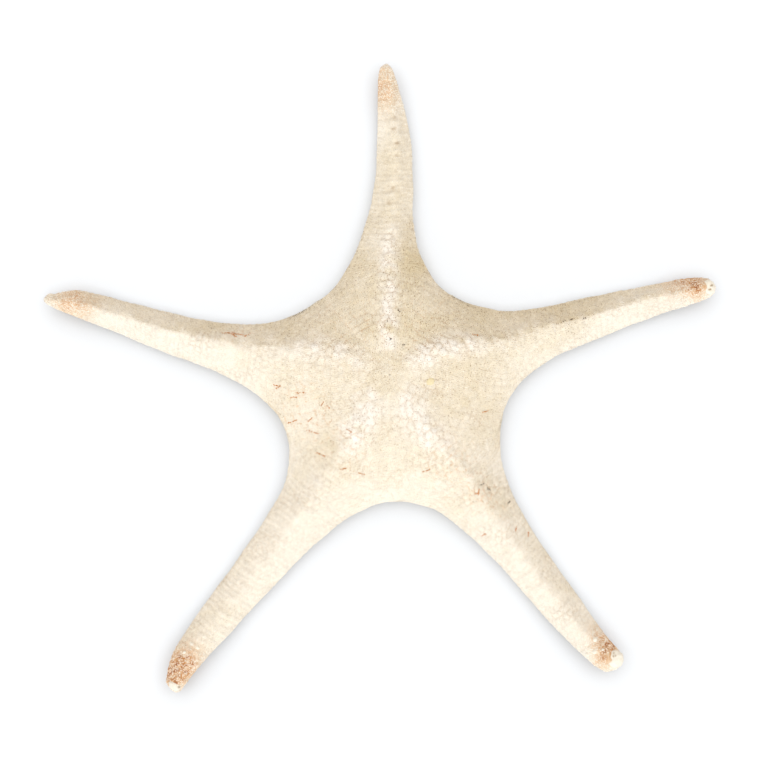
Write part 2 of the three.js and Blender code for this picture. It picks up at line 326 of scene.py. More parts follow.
def top_height(sector, share, place, across, points, middle, inward):
    own_roof = np.array([arm["roof"] for arm in ARMS])[sector]
    roof = lerp(1, own_roof, smoothstep(share, ROOF_START, ROOF_END))
    roof *= lerp(1, TIP_ROOF_SHARE, smoothstep(share, TIP_ROOF_START, TIP_ROOF_END))
    width = lerp(DISC_SWELL_WIDTH, TIP_SWELL_WIDTH, share) * lerp(FLAT_WIDTH_SHARE, 1, roof)
    height = lerp(DISC_SWELL, TIP_SWELL, share) * lerp(FLAT_SWELL_SHARE, 1, roof)
    swell = height * (1 - np.exp(-inward / width))
    from_crest = np.hypot(np.linalg.norm(points - middle, axis=1), KEEL_ROUNDING)
    keel_width = lerp(DISC_KEEL_WIDTH, KEEL_WIDTH, smoothstep(share, 0, KEEL_NARROW))
    keel = roof * smoothstep(place, KEEL_START, KEEL_FULL) * np.minimum(inward / keel_width, 1)
    keel *= np.exp(-from_crest / keel_width) * (1 - across**2)
    on_edge = (place == SPANS) | ((place >= 0) & (np.abs(across) == 1))
    return margin_height(share) + np.where(on_edge, 0, swell + KEEL_HEIGHT * keel)


def sole_height(share, across, points, middle):
    from_furrow = np.linalg.norm(points - middle, axis=1) / FURROW_HALF_WIDTH
    hollow = np.maximum(1 - from_furrow**2, 0) * (1 - across**2)
    furrow = FURROW_DEPTH * (1 - smoothstep(share, LIFT_START, FURROW_END)) * hollow
    from_mouth = np.linalg.norm(points, axis=1) / MOUTH_RADIUS
    mouth = MOUTH_DEPTH * np.maximum(1 - from_mouth**2, 0)
    return lift(share) + SOLE_RISE + np.maximum(furrow, mouth)


# The skin as one closed mesh: rows over the top, lines down the sides, coarser rows over the sole


def stitched(near, near_at, far, far_at):
    """Triangles between two rows of point numbers, given the places of the points along their rows."""
    on_far = np.repeat([False, True], [len(near) - 1, len(far) - 1])
    on_far = on_far[np.argsort(np.concatenate([near_at[1:], far_at[1:]]), kind="stable")]
    i = np.cumsum(~on_far) - ~on_far
    j = np.cumsum(on_far) - on_far
    onward = np.where(on_far, far[np.minimum(j + 1, len(far) - 1)], near[np.minimum(i + 1, len(near) - 1)])
    return np.stack([near[i], far[j], onward], 1)


class Skin:
    """Points of the skin with what is known of each, and the triangles between them."""

    def __init__(self):
        self.columns = {name: [] for name in ("xy", "z", "middle", "place", "across", "sector", "kind")}
        self.triangles = []
        self.count = 0

    def add(self, **known):
        amount = len(known["xy"])
        for name, values in known.items():
            self.columns[name].append(values if np.ndim(values) else np.full(amount, values))
        numbers = np.arange(self.count, self.count + amount)
        self.count += amount
        return numbers


def add_sheet(skin, index, pitch, kind, inset):
    """The top or the sole of one sector. Returns its rows as (point numbers, places across, place along)."""
    places = row_places(index, pitch)
    right, middle, left = row_lines(index, places, CRESTS[index] if kind == TOP else FURROWS[index], inset)
    rows = []
    for row, place in enumerate(places):
        halves = [np.linalg.norm(end[row] - middle[row]) for end in (right, left)]
        steps = [max(1, round(half / pitch)) for half in halves]
        across = np.concatenate([np.linspace(-1, 0, steps[0] + 1), np.linspace(0, 1, steps[1] + 1)[1:]])
        if place in (-1, SPANS):
            across = np.zeros(1)
        t = across[:, None]
        bend = (left[row] + right[row]) / 2 - middle[row]
        points = middle[row] + (left[row] - right[row]) * t / 2 + bend * t * t
        middles = np.repeat(middle[row][None], len(across), 0)
        share = reach_share(np.full(len(across), index), place, points)
        if kind == TOP:
            z = np.zeros(len(across))
        else:
            z = sole_height(share, across, points, middles)
        known = {"xy": points, "z": z, "middle": middles, "place": place, "across": across}
        numbers = skin.add(**known, sector=index, kind=kind)
        rows.append((numbers, across, place))
    for (near, near_at, _), (far, far_at, _) in zip(rows, rows[1:]):
        triangles = stitched(near, near_at, far, far_at)
        skin.triangles.append(triangles if kind == TOP else triangles[:, ::-1])
    return rows


def add_side(skin, index, end, top_rows, sole_rows):
    """The side along one edge of an arm, from the widest line down to the sole's edge."""
    upper = np.array([row[0][end] for row in top_rows if row[2] >= 0])
    lower = np.array([row[0][end] for row in sole_rows if row[2] >= 0])
    upper_at = np.array([row[2] for row in top_rows if row[2] >= 0])
    lower_at = np.array([row[2] for row in sole_rows if row[2] >= 0])
    first_web = index * 2 * SPANS
    along = first_web + upper_at if end == 0 else first_web + 2 * SPANS - upper_at
    sector = np.full(len(along), index)
    lines = [(upper, upper_at)]
    for line in range(1, SIDE_LINES):
        down = line / SIDE_LINES
        points = edge(along, tapered(SIDE_UNDERCUT * down**SIDE_CURVE, upper_at))
        share = reach_share(sector, upper_at, points)
        z = lerp(margin_height(share), lift(share) + SOLE_RISE, down)
        across = np.full(len(along), -1.0 if end == 0 else 1.0)
        known = {"xy": points, "z": z, "middle": points, "place": upper_at, "across": across}
        numbers = skin.add(**known, sector=index, kind=SIDE)
        lines.append((numbers, upper_at))
    lines.append((lower, lower_at))
    for (near, near_at), (far, far_at) in zip(lines, lines[1:]):
        triangles = stitched(near, near_at, far, far_at)
        skin.triangles.append(triangles if end == 0 else triangles[:, ::-1])
    return lines[1:-1]


def normals_of(points, triangles):
    corners = points[triangles]
    facing = np.cross(corners[:, 1] - corners[:, 0], corners[:, 2] - corners[:, 0])
    result = np.zeros_like(points)
    for corner in range(3):
        for axis in range(3):
            result[:, axis] += np.bincount(triangles[:, corner], facing[:, axis], len(points))
    return result / np.maximum(np.linalg.norm(result, axis=1), LEAST_LENGTH)[:, None]


skin = Skin()
top_rows = []
sole_rows = []
side_lines = []
for index in range(len(ARMS)):
    top_rows.append(add_sheet(skin, index, TOP_PITCH, TOP, 0))
    sole_rows.append(add_sheet(skin, index, SOLE_PITCH, SOLE, SIDE_UNDERCUT))
    for end in (0, -1):
        side_lines.append(add_side(skin, index, end, top_rows[-1], sole_rows[-1]))
known = {name: np.concatenate(values) for name, values in skin.columns.items()}

share = reach_share(known["sector"], known["place"], known["xy"])
inward = np.zeros(skin.count)
is_top = known["kind"] == TOP
inward[is_top] = in_from_outline(known["xy"][is_top])
known["z"][is_top] = top_height(
    known["sector"][is_top],
    share[is_top],
    known["place"][is_top],
    known["across"][is_top],
    known["xy"][is_top],
    known["middle"][is_top],
    inward[is_top],
)

# Neighbouring sheets meet in the same points, which become one

SAME_POINT_DECIMALS = 4

loose = np.column_stack([known["xy"], known["z"]])
rounded = np.round(loose, SAME_POINT_DECIMALS)
_, first, merged = np.unique(rounded, axis=0, return_index=True, return_inverse=True)
merged = merged.ravel()
body = loose[first]
triangles = merged[np.concatenate(skin.triangles)]
a, b, c = triangles.T
triangles = triangles[(a != b) & (b != c) & (c != a)]
top_rows = [[(merged[row[0]], row[1], row[2]) for row in rows] for rows in top_rows]
sole_rows = [[(merged[row[0]], row[1], row[2]) for row in rows] for rows in sole_rows]
side_lines = [[(merged[numbers], at) for numbers, at in lines] for lines in side_lines]
kind = known["kind"][first]
sector = known["sector"][first]
share = share[first]
crest_point = known["middle"][first]
from_crest = np.linalg.norm(body[:, :2] - crest_point, axis=1) * np.sign(known["across"][first])
along_crest = np.linalg.norm(crest_point, axis=1)
smooth_facing = normals_of(body, triangles)

# Plates of the skin: rows of overlapping scales over the top, two rows down the sides, rows under the arms

PLATE_PITCH = 3.1  # on the disc
TIP_PLATE_PITCH = 2.0
SIDE_PLATE_PITCH = 2.7
SOLE_PLATE_PITCH = 3.0
ROW_SHARE = 0.866  # rows of scales lie closer than the scales in a row
SEAM_WIDTH = 0.5
SEAM_DEPTH = 0.16
PLATE_DOME = 0.1  # how much a plate's middle stands over its rim
PLATE_HALF = 0.55  # of the pitch: where its rim is
PLATE_WOBBLE = 0.3  # of its outline
WOBBLE_LENGTH = 3.4
WOBBLE_SEEDS = (21, 22, 23)
PLATE_TILT = 0.09  # how much a plate's far rim lies over the next plate
PLATE_SCATTER = 0.12  # of the pitch, along a row
PLATE_STRAY = 0.1  # of the pitch, any way
ROW_END_GAP = 0.3  # of the pitch, left free at a row's end
CLOSEST_PLATES = 0.62  # of the pitch
FIRST_ROW = 2.0  # out from the disc's centre
SOLE_ROW_START = FURROW_HALF_WIDTH + 1


def plate_pitch(reach_out):
    return lerp(PLATE_PITCH, TIP_PLATE_PITCH, reach_out)


def spread(numbers, pitch, start):
    """Places every pitch along a line of skin points, the first after start, with a little scatter."""
    line = body[numbers]
    run = np.concatenate([[0], np.cumsum(np.linalg.norm(np.diff(line, axis=0), axis=1))])
    at = np.arange(start, run[-1] - pitch * ROW_END_GAP, pitch)
    at = at + chance.normal(0, PLATE_SCATTER * pitch, len(at))
    points = np.stack([np.interp(at, run, line[:, axis]) for axis in range(3)], 1)
    return points + chance.normal(0, PLATE_STRAY * pitch, points.shape)


def scale_rows(rows, first, start_in, pitch_of):
    """Plates on a sheet: on chosen rows, to both sides of the middle, every second row half a step on."""
    found = []
    next_at = first
    odd = False
    for numbers, across, _ in rows:
        middle = int(np.argmin(np.abs(across)))
        if along_crest[numbers[middle]] < next_at:
            continue
        pitch = pitch_of(share[numbers[middle]])
        next_at += pitch * ROW_SHARE
        begin = start_in + (pitch / 2 if odd else 0)
        odd = not odd
        found.append(spread(numbers[middle:], pitch, begin))
        found.append(spread(numbers[middle::-1], pitch, begin if begin else pitch))
    return found


def thinned(points, least):
    """Leaves out each point that lies closer than least to one kept before it."""
    kept = np.zeros((0, 3))
    for point, gap in zip(points, least):
        if not len(kept) or np.linalg.norm(kept - point, axis=1).min() > gap:
            kept = np.vstack([kept, point])
    return kept


def plate_middles():
    found = []
    for lines in side_lines:
        for line in (0, SIDE_LINES - 2):
            found.append(spread(lines[line][0], SIDE_PLATE_PITCH, SIDE_PLATE_PITCH / 2))
    for rows in top_rows:
        found += scale_rows(rows, FIRST_ROW, 0, plate_pitch)
    for rows in sole_rows:
        found += scale_rows(rows, MOUTH_RADIUS, SOLE_ROW_START, lambda at: SOLE_PLATE_PITCH)
    points = np.concatenate(found)
    out = np.linalg.norm(points[:, :2], axis=1) / MEAN_REACH
    return thinned(points, CLOSEST_PLATES * plate_pitch(np.minimum(out, 1)))


plates = plate_middles()
tree = KDTree(len(plates))
for number, plate in enumerate(plates):
    tree.insert(plate, number)
tree.balance()
wobble = np.stack([ripple(body, WOBBLE_LENGTH, seed) for seed in WOBBLE_SEEDS], 1) * PLATE_WOBBLE
hits = [tree.find_n(point, 2) for point in body + wobble]
plate = np.array([hit[0][1] for hit in hits])
to_first = np.array([hit[0][2] for hit in hits])
to_second = np.array([hit[1][2] for hit in hits])
seam = np.exp(-(((to_second - to_first) / SEAM_WIDTH) ** 2))
plate_tone = chance.uniform(-1, 1, len(plates))[plate]
size_share = np.minimum(to_first / (PLATE_HALF * plate_pitch(share)), 1)
outwards = np.array([heading(arm["bearing"]) for arm in ARMS])[sector]
past_middle = ((body - plates[plate])[:, :2] * outwards).sum(1) / (PLATE_PITCH / 2)

# Ridges of clear white plates on the disc: strength, half width, and how far out they fade

RIDGES = {
    "right": (0.95, 4.6, 42),
    "top": (0.95, 3.2, 62),
    "left": (0.65, 4.6, 42),
    "low_left": (1, 6.6, 36),
    "low_right": (1, 6.2, 40),
}
RIDGE_BEGINS = (6, 11)  # out from the disc's centre
RIDGE_FADES = 0.66  # share of that way out where the fading begins
SMOOTH_BACK = (50, 66)  # way up the plan over which the top arm's plates grow faint
SMOOTH_SHARE = 0.4  # how much of its plates is left to see
PLATES_SHOW = 0.36  # how clearly plates stand out, from 0 to 1
PLATES_DIFFER = 0.22  # from place to place
PLATES_DIFFER_OVER = 14
PLATES_LIMITS = (0.1, 0.8)
RIDGE_PLATES_SHOW = 0.5  # more on the ridges

ridge_strength, ridge_width, ridge_end = np.array([RIDGES[arm["name"]] for arm in ARMS])[sector].T
faded = smoothstep(along_crest, RIDGE_FADES * ridge_end, ridge_end)
on_ridge = smoothstep(along_crest, *RIDGE_BEGINS) * (1 - faded)
on_ridge *= ridge_strength * np.exp(-((from_crest / ridge_width) ** 2)) * (kind == TOP)
smooth_back = smoothstep(body[:, 1], *SMOOTH_BACK)
plain = np.clip(PLATES_SHOW + PLATES_DIFFER * ripple(body, PLATES_DIFFER_OVER, seed=3), *PLATES_LIMITS)
plain = plain * lerp(1, SMOOTH_SHARE, smooth_back) + RIDGE_PLATES_SHOW * on_ridge
domed = PLATE_DOME * (1 - size_share**2)
relief = plain * (domed + PLATE_TILT * np.clip(past_middle, -1, 1) - SEAM_DEPTH * seam)

# Raised nodes along each crest, and pits beyond some of them, darkened with painted shade

NODE_START = 15.0
NODE_STOP = 14.0  # how far short of the tip
NODE_PITCH = 5.2
NODE_PITCHES = (0.85, 1.2)  # least and most, as shares of it
MOST_NODES = 30
NODE_HEIGHT = 0.65
NODE_HEIGHTS = (0.55, 1.15)
NODE_LENGTH = 1.5
NODE_LENGTHS = (0.85, 1.15)
NODE_HALF_WIDTH = 2.5
NODE_ASIDE = 0.7
NODE_BLEACHES = (0.1, 1)
PIT_DEPTH = 0.3
TOP_NODES = [42, 47.5, 53.5, 60, 65.2, 70.9, 76.8, 82.1, 87, 91.6]  # on the top arm, where they stand clear
PITS = [  # between those nodes, shallow hollows whose dark colour is painted shade: place in plan, radius and strength
    (2, 93.8, 0.8, 0.35), (1.3, 89.4, 0.55, 0.5), (2.1, 89.7, 0.5, 0.5), (2.6, 84.2, 0.5, 0.5),
    (3.4, 84.5, 0.5, 0.55), (2.7, 79.8, 0.6, 0.3), (2.4, 74, 0.6, 0.25), (1.1, 67.8, 0.5, 0.45),
    (1.8, 68, 0.45, 0.4), (0, 62.5, 0.8, 0.35),
]
GROWTH_LINES = 2.2  # apart, across the arms
GROWTH_HEIGHT = 0.08
GROWTH_WANDER = 1.6  # radians, over GROWTH_WANDER_OVER
GROWTH_WANDER_OVER = 12
GROWTH_BEGINS = (28, 40)
CREST_HALF_WIDTH = 3.5
UNEVENNESS = [(0.1, 11, 4), (0.03, 3.1, 5)]  # of the whole skin: height, wavelength and seed
CREST_UNEVENNESS = [(0.2, 3.1, 6), (0.25, 7, 12)]  # more on sharp crests


def patches(listed):
    """Soft round patches, each given by its place in plan, its radius and its strength."""
    total = np.zeros(len(body))
    for x, y, radius, strength in listed:
        total += strength * np.exp(-((body[:, 0] - x) ** 2 + (body[:, 1] - y) ** 2) / radius**2)
    return total


def ripples(listed):
    """Ripples over the skin, each given by its height, wavelength and seed."""
    return sum(height * ripple(body, wavelength, seed) for height, wavelength, seed in listed)


def node_places(arm):
    if arm["name"] == "top":
        return TOP_NODES
    steps = NODE_PITCH * chance.uniform(*NODE_PITCHES, MOST_NODES)
    places = NODE_START + np.cumsum(steps)
    return places[places < arm["reach"] - NODE_STOP]


node = np.zeros(len(body))
node_bleach = np.zeros(len(body))
for index, arm in enumerate(ARMS):
    on_arm = np.flatnonzero((kind == TOP) & (sector == index))
    for at in node_places(arm):
        height = chance.uniform(*NODE_HEIGHTS)
        aside = chance.normal(0, NODE_ASIDE)
        length = chance.uniform(*NODE_LENGTHS)
        ahead = (along_crest[on_arm] - at) / (NODE_LENGTH * length)
        beside = (from_crest[on_arm] - aside) / NODE_HALF_WIDTH
        bump = np.exp(-(ahead**2) - beside**2)
        node[on_arm] = np.maximum(node[on_arm], height * bump)
        node_bleach[on_arm] = np.maximum(node_bleach[on_arm], chance.uniform(*NODE_BLEACHES) * bump)
# Pits: shallow hollows in the relief, and painted shade in the colour
pit = patches(PITS) * (kind == TOP)
relief += NODE_HEIGHT * node - PIT_DEPTH * pit
growth = FULL_TURN * along_crest / GROWTH_LINES + GROWTH_WANDER * ripple(body, GROWTH_WANDER_OVER, seed=14)
relief += GROWTH_HEIGHT * np.cos(growth) * smoothstep(along_crest, *GROWTH_BEGINS) * (kind == TOP)
own_roof = np.array([arm["roof"] for arm in ARMS])[sector]
near_crest = np.exp(-((from_crest / CREST_HALF_WIDTH) ** 2)) * own_roof * (kind == TOP)
relief += ripples(UNEVENNESS) + near_crest * ripples(CREST_UNEVENNESS)
relief[kind == SOLE] = np.minimum(relief[kind == SOLE], SOLE_RISE / 2)
body = body + smooth_facing * relief[:, None]
facing = normals_of(body, triangles)

# Marks on the skin: seams, bleached ridges, tan dirt, painted shade on the flanks that face away from the
# key light, rust-brown arm ends, pits darkened with painted shade, and pores

BROWN_PATCHES = [  # brown on the arm ends: place in plan, radius and strength
    (109, 33.4, 4.5, 0.66), (103.5, 33.2, 4.5, 0.38), (113.2, 34.2, 3.2, 0.6), (112.6, 30.2, 2.6, 0.58),
    (-1.4, 107, 5, 0.28), (-2.6, 101, 5, 0.32), (0.5, 103, 4, 0.14), (-3.6, 106, 2.2, 0.2),
    (-2.5, 111, 2.6, 0.18),
    (-115, 26.8, 4.5, 0.26), (-109.5, 25.8, 4.5, 0.2), (-119.5, 26.2, 3.2, 0.3), (-113, 23.2, 4, 0.3),
    (-114.5, 29.6, 2.6, 0.3), (-118, 24.4, 2.5, 0.25),
    (-75.2, -106.8, 5, 0.78), (-77.4, -109.8, 3.6, 0.9), (-72.4, -101.6, 4, 0.46), (-77, -103.5, 3.5, 0.36),
    (-80, -107.5, 3, 0.4), (-73.2, -105.5, 3, 0.36), (-79.5, -111.5, 2.5, 0.7), (-77.4, -100.5, 3, 0.1),
    (77.2, -97.8, 3.4, 0.55), (81.8, -99.6, 2.6, 0.66), (78.4, -102.6, 3, 0.64), (75.6, -94, 3.4, 0.28),
    (80, -97.2, 2.4, 0.42), (77.5, -105, 3, 0.28),
]
STAINS = [  # tan patches, and paler ones below 0: place in plan, radius and strength
    (7.5, 39, 7, 0.8), (19, 24, 8, -0.2), (30, 22, 6, 0.15), (-12, 28, 7, 0.1), (38, -47, 9, 0.22),
    (34, -18, 9, 0.2), (0, 54, 20, 0.3), (1, 82, 16, 0.3), (62, 23, 15, 0.32), (-36, -10, 10, 0.08),
    (0, -40, 16, -0.18),
    (51, -62, 9, 0.2), (44, -68, 14, -0.2), (67, -86, 9, -0.2), (-8, 38, 6, 0.3), (-18, 23, 8, -0.18),
    (2, 10, 12, 0.2), (20, 2, 12, 0.18), (79, -108.5, 3, 0.25), (4, 22, 7, 0.12), (-30, 18, 10, -0.25),
    (2, 100, 7, 0.15), (-47, -57, 12, -0.15), (7, 67, 8, 0.3), (-6, 70, 8, 0.12), (5, -28, 12, 0.08),
    (21, -12, 9, 0.15), (-14, 14, 7, 0.2), (3, 19, 8, 0.15), (-48, 15, 9, -0.15),
]
DIRTY_SEAMS = [  # patches where brown dirt shows in the seams: place in plan, radius and strength
    (23, -34, 8, 0.75), (32, -42, 5, 0.9), (39, -48, 5, 0.6), (-30, -8, 8, 0.5), (-34, -16, 7, 0.55),
    (-22, -22, 8, 0.45), (-14, -30, 7, 0.35), (12, 18, 12, 0.3), (-14, 17, 12, 0.3), (-55, 15, 5, 0.5),
]
SEAM_LINE = 0.3  # half width of the dirt in a seam
SEAM_DIRT = 0.8
RUST_EVENNESS = 0.8  # below 1, faint brown comes out stronger in the gaps between granules
RUST_SPECKLE = (0.9, 0.4, 2.0)  # mean, swing and size of the rust's own patches
MOST_RUST = 1.1
DIRT_SPECKLE = (0.5, 0.7, 3.5)  # the same for dirt in the seams
RIDGE_BLEACH = (0.9, 0.4, 5)  # the same for bleach on the ridges
NODE_BLEACH = 0.4
ARM_BLEACH = 0.22  # of the arms, growing over this way out
ARM_BLEACH_BEGINS = (45, 75)
DISC_FADES = (30, 62)  # out from the disc's centre, where its tan gives way
SHADE_FACING = (0.2, 0.6)  # how far a flank faces away from the key light to take the painted shade: tan, and less of the arms' bleach
CLEAR_OF_TIP = (10, 26)
FLAT_ARM_SHARE = 0.55  # of that on an arm with a flat back
TAN_ALL_OVER = 0.02
TAN_ON_DISC = 0.26
# Painted shade: tan laid on the flanks that face away from the key light
PAINTED_SHADE_ON_FAR_FLANKS = 0.34
TAN_DRIFT = 0.14  # from place to place
TAN_DRIFT_OVER = 17
TAN_BY_PLATE = 0.1
TAN_UNDER_BROWN = 0.3
BROWN_ENOUGH = 0.35  # for all of that tan
SEAM_STRENGTH = 1.3
PORES_ALL_OVER = 0.25
PORES_IN_TAN = 1.3
SMOOTH_PORES = 0.25  # share that is left on the top arm's smooth back


def speckle(mean, swing, size, seed):
    return mean + swing * ripple(body, size, seed)


tips = np.array([arm_point(arm, 1, 0) for arm in ARMS])[sector]
from_tip = np.linalg.norm(body[:, :2] - tips, axis=1)
brown = np.clip(patches(BROWN_PATCHES), 0, 1)
rust = brown**RUST_EVENNESS * np.clip(speckle(*RUST_SPECKLE, seed=7), 0, MOST_RUST)
seam_line = np.exp(-(((to_second - to_first) / SEAM_LINE) ** 2))
dirt = SEAM_DIRT * patches(DIRTY_SEAMS) * seam_line * np.clip(speckle(*DIRT_SPECKLE, seed=13), 0, 1)
rust = np.maximum(rust, dirt)
bleach = np.clip(on_ridge * speckle(*RIDGE_BLEACH, seed=8) + NODE_BLEACH * node_bleach, 0, 1)
on_disc = 1 - smoothstep(np.linalg.norm(body[:, :2], axis=1), *DISC_FADES)
# Painted shade: tan, and less of the arms' bleach, on the flanks that face away from the key light
far_flank_shade = smoothstep(smooth_facing[:, 1], *SHADE_FACING) * smoothstep(from_tip, *CLEAR_OF_TIP)
far_flank_shade *= (kind == TOP) * lerp(FLAT_ARM_SHARE, 1, own_roof)
bleach = np.maximum(bleach, ARM_BLEACH * smoothstep(along_crest, *ARM_BLEACH_BEGINS) * (1 - far_flank_shade))
# Tan: the disc's own tone, drift, plate tone and patches, plus the painted shade of the far flanks
tan = TAN_ALL_OVER + TAN_ON_DISC * on_disc + PAINTED_SHADE_ON_FAR_FLANKS * far_flank_shade
tan += TAN_DRIFT * ripple(body, TAN_DRIFT_OVER, seed=9) + TAN_BY_PLATE * plate_tone
tan += patches(STAINS) + TAN_UNDER_BROWN * smoothstep(brown, 0, BROWN_ENOUGH)
tan = np.clip(tan, 0, 1)
seam_mark = np.clip(SEAM_STRENGTH * seam * plain, 0, 1)
# Pores grow denser with tan, so also where the far flanks carry painted shade
pore = (PORES_ALL_OVER + PORES_IN_TAN * tan) * lerp(1, SMOOTH_PORES, smooth_back)
marks = {"seam": seam_mark, "bleach": bleach, "tan": tan, "rust": rust, "pit": pit, "pore": pore}

# Pieces

STEEP = 0.9  # upward share of an axis from which another direction is taken to measure round it from

to_frame = np.array([*((OUTLINE.min(0) + OUTLINE.max(0)) / -2), 0.0])


def make_piece(name, points, faces, point_marks, material):
    """A mesh in the part's frame that moves with the body."""
    mesh = bpy.data.meshes.new(name)
    mesh.vertices.add(len(points))
    mesh.vertices.foreach_set("co", ((points + to_frame) / 1000).astype(np.float32).ravel())
    mesh.loops.add(faces.size)
    mesh.loops.foreach_set("vertex_index", faces.astype(np.int32).ravel())
    mesh.polygons.add(len(faces))
    mesh.polygons.foreach_set("loop_start", np.arange(0, faces.size, 3, dtype=np.int32))
    mesh.update(calc_edges=True)
    for mark, values in point_marks.items():
        mesh.attributes.new(mark, "FLOAT", "POINT").data.foreach_set("value", values.astype(np.float32))
    mesh.shade_smooth()
    mesh.materials.append(material)
    piece = bpy.data.objects.new(name, mesh)
    bpy.context.scene.collection.objects.link(piece)
    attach(piece, "root")
    return piece


def domes(middles, axes, radii, heights, profile, sides, sink):
    """Closed little bosses: rings on an axis, each as (share of radius, share of height), and a top."""
    count = len(middles)
    helper = np.where(np.abs(axes[:, 2:]) < STEEP, [[0.0, 0.0, 1.0]], [[1.0, 0.0, 0.0]])
    one = np.cross(axes, helper)
    one /= np.linalg.norm(one, axis=1)[:, None]
    two = np.cross(axes, one)
    turn = chance.uniform(0, FULL_TURN, count)
    points = []
    for radius_share, height_share in profile:
        up = (heights * height_share - sink)[:, None] * axes
        for side in range(sides):
            angle = turn + FULL_TURN * side / sides
            round_axis = np.cos(angle)[:, None] * one + np.sin(angle)[:, None] * two
            points.append(middles + up + (radii * radius_share)[:, None] * round_axis)
    points.append(middles + (heights - sink)[:, None] * axes)
    faces = []
    last = len(profile) * sides
    for side in range(sides):
        onward = (side + 1) % sides
        for ring in range(len(profile) - 1):
            low_ring, high_ring = ring * sides, (ring + 1) * sides
            faces.append([low_ring + side, low_ring + onward, high_ring + onward])
            faces.append([low_ring + side, high_ring + onward, high_ring + side])
        faces.append([last - sides + side, last - sides + onward, last])
    faces += [[0, side + 1, side] for side in range(1, sides - 1)]
    each = last + 1
    all_points = np.stack(points, 1).reshape(-1, 3)
    all_faces = (np.array(faces)[None] + (np.arange(count) * each)[:, None, None]).reshape(-1, 3)
    return all_points, all_faces, each


# Materials


def linear(code):
    """An sRGB hex colour as the linear colour that shaders take."""
    parts = [int(code[at : at + 2], 16) / 255 for at in (1, 3, 5)]
    return (*[part / 12.92 if part <= 0.04045 else ((part + 0.055) / 1.055) ** 2.4 for part in parts], 1.0)


def add_node(tree, kind_of_node, settings, inputs):
    """One shader node: its settings, then each input as a number, a colour or another node's output."""
    made = tree.nodes.new(kind_of_node)
    for name, value in settings.items():
        setattr(made, name, value)
    for socket, value in inputs.items():
        if isinstance(value, bpy.types.NodeSocket):
            tree.links.new(value, made.inputs[socket])
        else:
            made.inputs[socket].default_value = value
    return made


# Sizes of the skin's patterns in millimetres. Real pores are finer: these are coarse enough to show.

MOTTLE_SIZE = 2.2
MOTTLE_DARKEST = 0.88
GRAIN_SIZE = 0.55
GRAIN_DARKEST = 0.9
GRAIN_HEIGHT = 0.1
PORE_SPACING = 0.56
PORE_RADII = {"To Min": 0.12, "To Max": 0.4}  # as shares of the spacing
PORE_EDGE = 0.14  # soft rim of a pore, as a share of the spacing
PORE_SHARE = 0.8  # how dark pores are
PORE_COLOUR = "#8A6436"
# Painted shade: the colour that darkens the pits, on the top arm's back and on the end plates
PIT_SHADE_COLOUR = "#96703C"
BURNT_LEAST = 0.4  # share of dark rust in the lightest brown
NOISE_CORE = {"From Min": 0.4, "From Max": 0.6}  # where most of a noise's values lie
NOISE_SPAN = {"From Min": 0.3, "From Max": 0.7}  # where nearly all of them lie
STROKE_CLOUD_SIZE = 1.1
TIMES = {"operation": "MULTIPLY"}
MIX = {"data_type": "RGBA", "clamp_factor": True}
MULTIPLY = {"data_type": "RGBA", "blend_type": "MULTIPLY", "clamp_factor": True}
FACTOR, FIRST, SECOND, MIXED = 0, 6, 7, 2  # sockets of a colour mix


def per_metre(millimetres):
    """Scale of a pattern whose features repeat at that size."""
    return 1000 / millimetres


